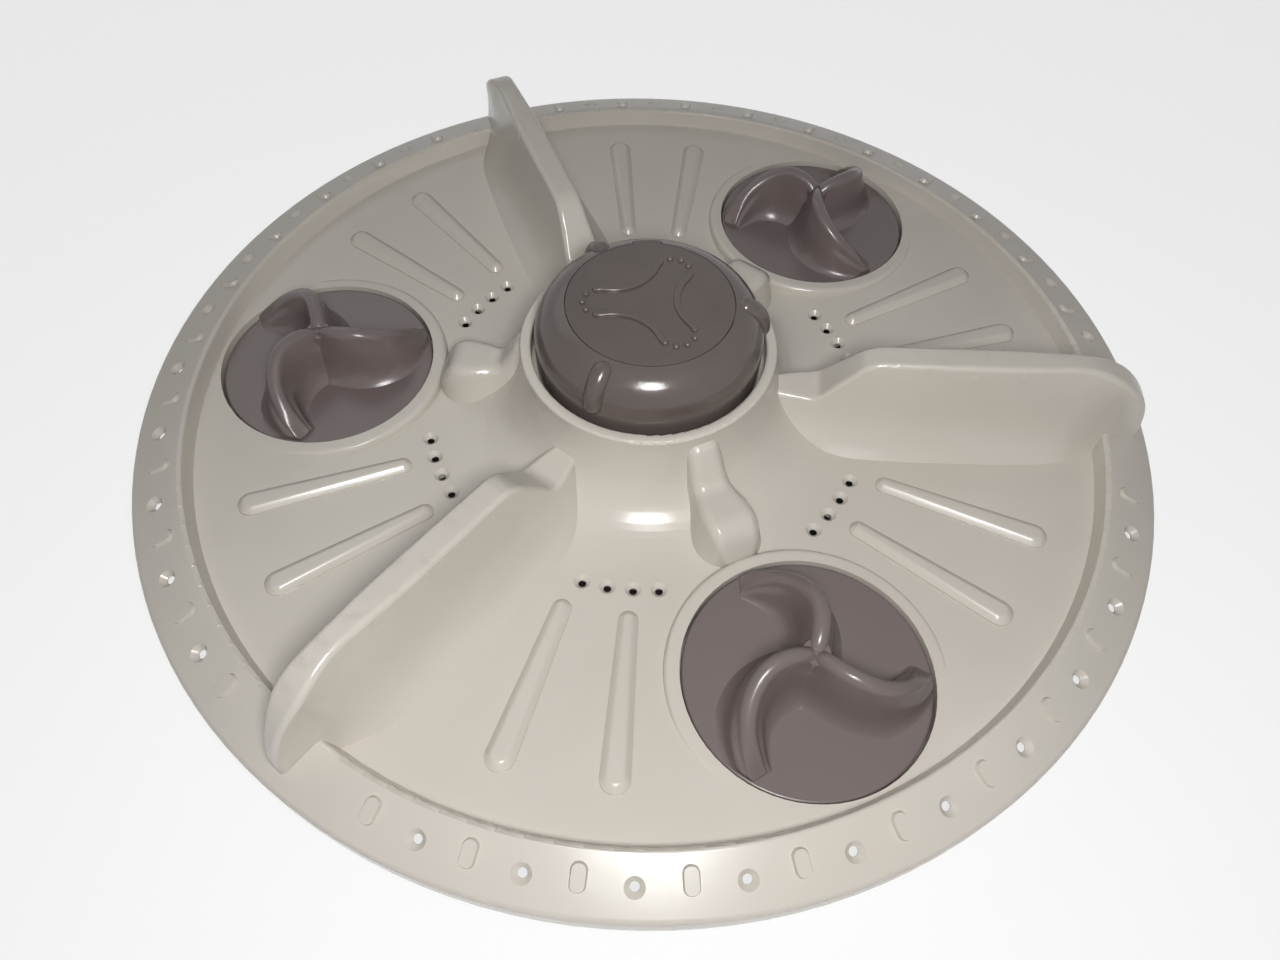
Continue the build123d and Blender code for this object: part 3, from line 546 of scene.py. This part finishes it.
class WASHPLATE_OT_pivots(bpy.types.Operator):
    """Gives the drive bush, pivot bushes, washers and screws their finishes"""

    bl_idname = "washplate.pivots"
    bl_label = "Pivots and drive bush"

    def execute(self, context):
        dress("drive_bush", turned_metal("drive_metal", BRASS_TONES, (0, 0, 0), BRASS_PITCH))
        pale = bush_plastic()
        for name in PIVOTS:
            low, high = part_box(f"retaining_washer_{name}")
            centre = (low + high) / 2
            steel = turned_metal(f"screw_metal_{name}", STEEL_TONES, centre, STEEL_PITCH)
            dress(f"pivot_bush_{name}", pale)
            dress(f"retaining_washer_{name}", steel)
            dress(f"retaining_screw_{name}", steel)
        return {"FINISHED"}


class WASHPLATE_OT_stage(bpy.types.Operator):
    """Sets the floor, the soft light and the camera"""

    bl_idname = "washplate.stage"
    bl_label = "Floor, light and camera"

    def lamp(self, name, place, power, size):
        """Adds a round soft lamp that looks at the plate."""
        data = bpy.data.lights.new(name, "AREA")
        data.shape = "DISK"
        data.size = size
        data.energy = power
        lamp = bpy.data.objects.new(name, data)
        turn = (Vector(place) - Vector(LAMP_AIM)).to_track_quat("Z", "Y")
        lamp.matrix_world = Matrix.Translation(place) @ turn.to_matrix().to_4x4()
        bpy.context.scene.collection.objects.link(lamp)

    def execute(self, context):
        look = context.scene.washplate_stage
        bpy.ops.object.select_all(action="DESELECT")
        bpy.ops.mesh.primitive_circle_add(
            vertices=FLOOR_SIDES, radius=look.floor_size / 2, fill_type="NGON",
            location=(0, 0, cad_low.z - FLOOR_GAP),
        )
        floor = context.object
        floor.name = "floor"
        bpy.ops.object.transform_apply(location=True, rotation=False, scale=False)
        bpy.ops.object.mode_set(mode="EDIT")
        bpy.ops.mesh.region_to_loop()
        bpy.ops.mesh.extrude_region_move(TRANSFORM_OT_translate={"value": (0, 0, look.wall)})
        bpy.ops.object.mode_set(mode="OBJECT")
        f = Finish("floor_paint")
        # Painted shadow: the floor under the plate is painted dark and its white glow is cut there, so
        # that the holes show dark
        x, y = f.parts(f.place())[:2]
        clear = ((x * x + y * y) ** 0.5).ease(*[cad_high.x * share for share in SHADE_SHARES])
        colour = f.mix(clear, tuple(look.shadow), tuple(look.floor))
        f.surface(base_color=colour, roughness=FLOOR_ROUGHNESS)
        seen = f.node("ShaderNodeLightPath", out="Is Camera Ray")
        for ray in ("Is Glossy Ray", "Is Transmission Ray"):
            seen = seen.math("MAXIMUM", f.node("ShaderNodeLightPath", out=ray))
        white = f.node("ShaderNodeEmission")
        paint = Sock(f, f.shader.outputs[0])
        amount = seen * clear * look.glow
        both = f.node("ShaderNodeMixShader", None, {0: amount, 1: paint, 2: white})
        f.feed(f.tree.nodes["Material Output"].inputs["Surface"], both)
        floor.data.materials.append(f.material)

        world = bpy.data.worlds.new("studio")
        world.use_nodes = True
        sky = world.node_tree.nodes["Background"]
        sky.inputs["Color"].default_value = (1, 1, 1, 1)
        sky.inputs["Strength"].default_value = look.sky
        context.scene.world = world
        self.lamp("key", tuple(look.key_place), look.key, look.key_size)
        self.lamp("fill", FILL_PLACE, look.fill, FILL_SIZE)

        data = bpy.data.cameras.new("camera")
        data.lens = look.lens
        data.sensor_width = SENSOR_MM
        data.clip_start = CLIP_NEAR
        camera = bpy.data.objects.new("camera", data)
        context.scene.collection.objects.link(camera)
        down, roll = look.look_down, look.roll
        right = Vector((1, 0, 0))
        up = Vector((0, math.sin(down), math.cos(down)))
        back = Vector((0, -math.cos(down), math.sin(down)))
        side = right * math.cos(roll) + up * math.sin(roll)
        top = up * math.cos(roll) - right * math.sin(roll)
        turn = Matrix.Rotation(look.turn, 3, "Z") @ Matrix((side, top, back)).transposed()
        camera.matrix_world = Matrix.Translation(look.eye) @ turn.to_4x4()
        context.scene.camera = camera
        context.scene.view_settings.view_transform = "Standard"
        return {"FINISHED"}


class WASHPLATE_PT_sidebar(bpy.types.Panel):
    """Lists the settings and the operators"""

    bl_idname = "WASHPLATE_PT_sidebar"
    bl_label = "Wash plate"
    bl_space_type = "VIEW_3D"
    bl_region_type = "UI"
    bl_category = "Wash plate"

    def draw(self, context):
        layout = self.layout
        for group in GROUPS:
            box = layout.box()
            settings = getattr(context.scene, group)
            for key in settings.__annotations__:
                box.prop(settings, key)
        for step in STEPS:
            layout.operator(step.bl_idname)


GROUPS = {
    "washplate_plate": PlateLook,
    "washplate_dark": DarkLook,
    "washplate_stage": StageLook,
}
STEPS = (
    WASHPLATE_OT_plate,
    WASHPLATE_OT_cap,
    WASHPLATE_OT_pulsators,
    WASHPLATE_OT_pivots,
    WASHPLATE_OT_stage,
)


def register():
    """Registers the classes and hangs the settings on the scene."""
    for group, settings in GROUPS.items():
        bpy.utils.register_class(settings)
        setattr(bpy.types.Scene, group, PointerProperty(type=settings))
    for step in STEPS:
        bpy.utils.register_class(step)
    bpy.utils.register_class(WASHPLATE_PT_sidebar)


def unregister():
    """Takes the classes and the settings away again."""
    bpy.utils.unregister_class(WASHPLATE_PT_sidebar)
    for step in reversed(STEPS):
        bpy.utils.unregister_class(step)
    for group, settings in GROUPS.items():
        delattr(bpy.types.Scene, group)
        bpy.utils.unregister_class(settings)


def main():
    """Runs every step in order."""
    register()
    bpy.ops.washplate.plate()
    bpy.ops.washplate.cap()
    bpy.ops.washplate.pulsators()
    bpy.ops.washplate.pivots()
    bpy.ops.washplate.stage()


if __name__ == "__main__":
    main()
